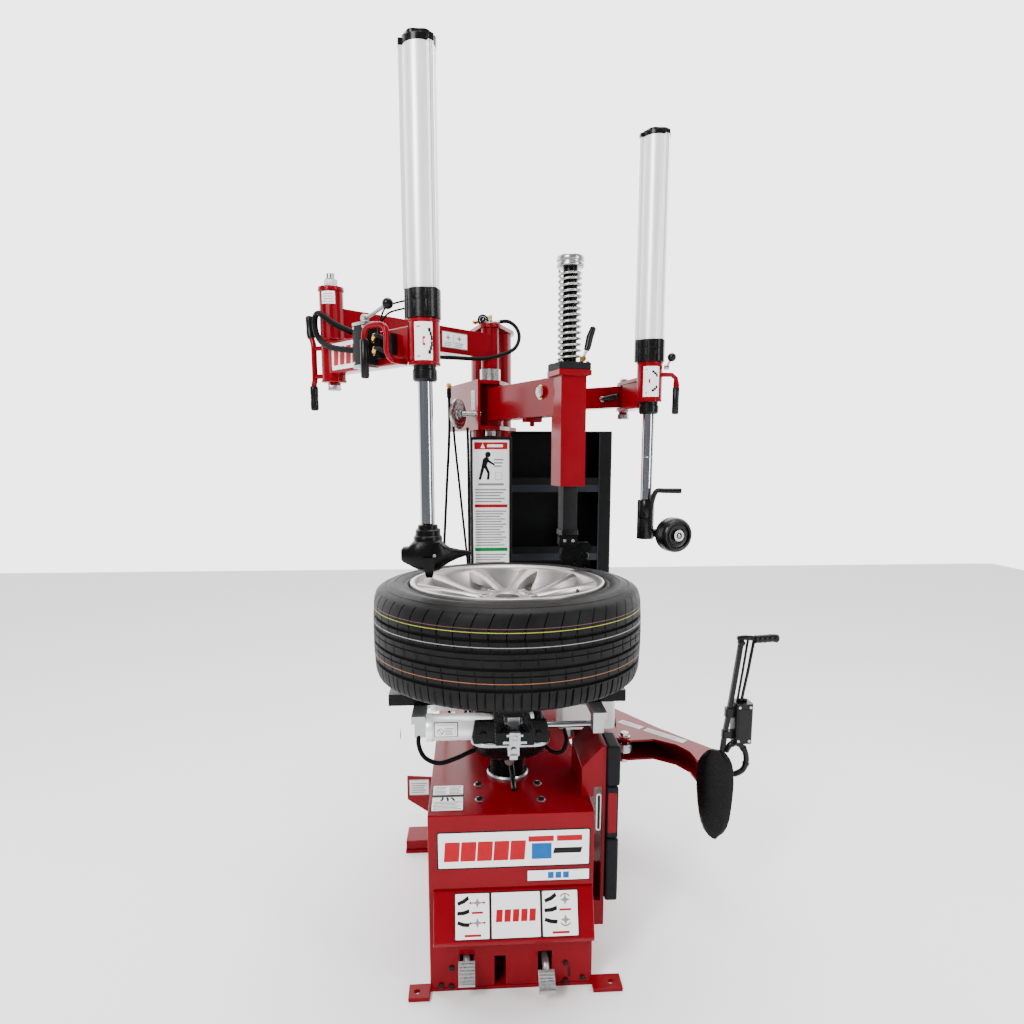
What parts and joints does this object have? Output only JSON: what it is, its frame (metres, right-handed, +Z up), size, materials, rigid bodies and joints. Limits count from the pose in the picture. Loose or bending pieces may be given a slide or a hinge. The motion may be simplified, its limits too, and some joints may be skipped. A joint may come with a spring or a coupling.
{
  "type": "tire changer",
  "caption": "Swing-arm tire changer with rotating clamp table, spring-loaded tool bar, two pneumatic helper arms on the mast, side bead breaker, foot pedals and a wheel clamped on the table.",
  "frame": {"origin": "on the floor, on the turntable's vertical axis", "axes": "+Z up; the operator and the pedals are at -Y; the bead breaker is at +X; the mast and storage cabinet are at +Y"},
  "size_m": [1.2547, 1.264, 2.131],
  "materials": {
    "red_paint": "smooth gloss enamel over sheet and tube steel",
    "black_paint": "satin black powder coat",
    "cast_black": "cast iron painted black",
    "chrome_rod": "hard chromed piston rod",
    "steel": "machined or galvanised steel",
    "tube_aluminium": "extruded anodised cylinder profile",
    "rim_aluminium": "cast and lacquered light alloy",
    "rubber_pad": "ribbed moulded rubber",
    "tyre_rubber": "new tyre rubber",
    "black_plastic": "moulded black plastic",
    "white_plastic": "moulded pale plastic"
  },
  "bodies": {
    "base": {"base_frame": "red_paint", "cabinet_shell": "red_paint", "control_panel": "red_paint", "side_wall_plate": "red_paint", "pad_top": "rubber_pad", "pad_mid": "rubber_pad", "pad_bottom": "rubber_pad", "side_placard": "red_paint", "gearmotor": "cast_black", "column": "black_paint", "mast": "red_paint", "arm_bracket": "red_paint", "pivot_pin": "steel", "storage_cabinet": "black_paint", "lube_bucket": "white_plastic", "air_regulator": "steel", "breaker_bracket": "red_paint"},
    "pedal_l": {"pedal_left": "steel"},
    "pedal_r": {"pedal_right": "steel"},
    "bead_cylinder": {"bead_barrel": "tube_aluminium"},
    "bead_piston": {"bead_rod": "chrome_rod"},
    "breaker": {"breaker_arm": "red_paint", "breaker_handle": "black_plastic"},
    "shoe": {"breaker_shoe": "cast_black"},
    "turntable": {"turntable_hub": "cast_black", "table_plate": "cast_black", "tyre": "tyre_rubber", "rim": "rim_aluminium"},
    "clamp_left": {"jaw_left": "steel", "clamp_barrel_front": "tube_aluminium", "clamp_barrel_rear": "tube_aluminium"},
    "clamp_right": {"jaw_right": "steel", "clamp_rod_front": "chrome_rod", "clamp_rod_rear": "chrome_rod"},
    "clamp_front": {"jaw_front": "steel"},
    "clamp_rear": {"jaw_rear": "steel"},
    "left_inner": {"left_inner_arm": "red_paint"},
    "left_outer": {"left_outer_arm": "red_paint", "left_valve_block": "black_plastic", "left_tube": "tube_aluminium", "left_tube_cap": "black_plastic", "left_guide": "black_plastic"},
    "left_lift": {"left_rod": "chrome_rod"},
    "presser": {"press_tool": "black_plastic"},
    "left_lever": {"left_valve_lever": "black_plastic"},
    "right_inner": {"right_inner_arm": "red_paint"},
    "right_outer": {"right_outer_arm": "red_paint", "right_tube": "tube_aluminium", "right_tube_cap": "black_plastic", "right_guide": "black_plastic"},
    "right_lift": {"right_rod": "chrome_rod"},
    "roller_carrier": {"roller_bracket": "black_plastic"},
    "press_roller": {"roller": "black_plastic"},
    "right_lever": {"right_valve_lever": "black_plastic"},
    "swing": {"swing_arm": "red_paint", "spring": "steel", "lock_plate": "black_paint"},
    "bar": {"tool_bar": "steel", "mount_head": "black_plastic"},
    "bar_lock": {"lock_lever": "black_plastic"}
  },
  "joints": [
    {"name": "turntable_spin", "type": "hinge", "parent": "base", "child": "turntable", "pos_m": [0, 0, 0.66], "axis": [0, 0, 1], "continuous": true},
    {"name": "clamp_left_slide", "type": "slide", "parent": "turntable", "child": "clamp_left", "axis": [-1, 0, 0], "range_m": [0, 0.03]},
    {"name": "clamp_right_slide", "type": "slide", "parent": "turntable", "child": "clamp_right", "axis": [1, 0, 0], "range_m": [0, 0.03]},
    {"name": "clamp_front_slide", "type": "slide", "parent": "turntable", "child": "clamp_front", "axis": [0, -1, 0], "range_m": [0, 0.03]},
    {"name": "clamp_rear_slide", "type": "slide", "parent": "turntable", "child": "clamp_rear", "axis": [0, 1, 0], "range_m": [0, 0.03]},
    {"name": "pedal_left_hinge", "type": "hinge", "parent": "base", "child": "pedal_l", "pos_m": [-0.11, -0.06, 0.062], "axis": [1, 0, 0], "range_deg": [0, 7], "stiffness_Nm_per_rad": 12, "springref_deg": -20.05},
    {"name": "pedal_right_hinge", "type": "hinge", "parent": "base", "child": "pedal_r", "pos_m": [0.078, -0.06, 0.062], "axis": [1, 0, 0], "range_deg": [0, 7], "stiffness_Nm_per_rad": 12, "springref_deg": -20.05},
    {"name": "breaker_swing", "type": "hinge", "parent": "base", "child": "breaker", "pos_m": [0.27, 0.47, 0.398], "axis": [0, 0, 1], "range_deg": [-11.5, 8.6]},
    {"name": "bead_cylinder_swing", "type": "hinge", "parent": "base", "child": "bead_cylinder", "pos_m": [-0.16, 0.262, 0.398], "axis": [0, 0, 1], "range_deg": [-3, 3]},
    {"name": "bead_rod_slide", "type": "slide", "parent": "bead_cylinder", "child": "bead_piston", "axis": [1, 0, 0], "range_m": [-0.05, 0.04]},
    {"name": "breaker_shoe_pivot", "type": "hinge", "parent": "breaker", "child": "shoe", "pos_m": [0.582, 0.088, 0.36], "axis": [0, 0, 1], "range_deg": [-15, 15]},
    {"name": "swing_arm_pivot", "type": "hinge", "parent": "base", "child": "swing", "pos_m": [-0.024, 0.537, 1.43], "axis": [0, 0, 1], "range_deg": [-14, 14]},
    {"name": "tool_bar_slide", "type": "slide", "parent": "swing", "child": "bar", "axis": [0, 0, 1], "range_m": [0, 0.115], "deforming": ["spring"]},
    {"name": "bar_lock_lever", "type": "hinge", "parent": "swing", "child": "bar_lock", "pos_m": [0.2, 0.103, 1.519], "axis": [0, 1, 0], "range_deg": [0, 40]},
    {"name": "left_inner_pivot", "type": "hinge", "parent": "base", "child": "left_inner", "pos_m": [-0.024, 0.537, 1.6], "axis": [0, 0, 1], "range_deg": [-17, 17]},
    {"name": "left_outer_pivot", "type": "hinge", "parent": "left_inner", "child": "left_outer", "pos_m": [-0.438, 0.145, 1.51], "axis": [0, 0, 1], "range_deg": [-28, 22]},
    {"name": "left_lift_slide", "type": "slide", "parent": "left_outer", "child": "left_lift", "axis": [0, 0, 1], "range_m": [-0.03, 0.3]},
    {"name": "presser_swivel", "type": "hinge", "parent": "left_lift", "child": "presser", "pos_m": [-0.189, -0.131, 1.1], "axis": [0, 0, 1], "range_deg": [-30, 30]},
    {"name": "left_valve_lever_hinge", "type": "hinge", "parent": "left_outer", "child": "left_lever", "pos_m": [-0.3294, -0.04255, 1.587], "axis": [-0.7425, -0.6699, 0], "range_deg": [-12, 12], "stiffness_Nm_per_rad": 0.8},
    {"name": "right_inner_pivot", "type": "hinge", "parent": "base", "child": "right_inner", "pos_m": [-0.0165, 0.67, 1.445], "axis": [0, 0, 1], "range_deg": [-5.7, 28]},
    {"name": "right_outer_pivot", "type": "hinge", "parent": "right_inner", "child": "right_outer", "pos_m": [0.36, 0.34, 1.44], "axis": [0, 0, 1], "range_deg": [-11, 45]},
    {"name": "right_lift_slide", "type": "slide", "parent": "right_outer", "child": "right_lift", "axis": [0, 0, 1], "range_m": [-0.03, 0.19]},
    {"name": "roller_carrier_swivel", "type": "hinge", "parent": "right_lift", "child": "roller_carrier", "pos_m": [0.39, 0.164, 1.1], "axis": [0, 0, 1], "range_deg": [-30, 30]},
    {"name": "roller_spin", "type": "hinge", "parent": "roller_carrier", "child": "press_roller", "pos_m": [0.45055, 0.14755, 1.062], "axis": [0.309, -0.9511, 0], "continuous": true},
    {"name": "right_valve_lever_hinge", "type": "hinge", "parent": "right_outer", "child": "right_lever", "pos_m": [0.4315, 0.146, 1.505], "axis": [1, 0, 0], "range_deg": [-15, 15], "stiffness_Nm_per_rad": 0.4}
  ],
  "couplings": [
    {"joint": "clamp_right_slide", "follows": "clamp_left_slide", "ratio": 1},
    {"joint": "clamp_front_slide", "follows": "clamp_left_slide", "ratio": 1},
    {"joint": "clamp_rear_slide", "follows": "clamp_left_slide", "ratio": 1},
    {"joint": "bead_rod_slide", "follows": "breaker_swing", "m_per_rad": 0.208},
    {"joint": "bead_cylinder_swing", "follows": "breaker_swing", "ratio": 0.1887}
  ]
}
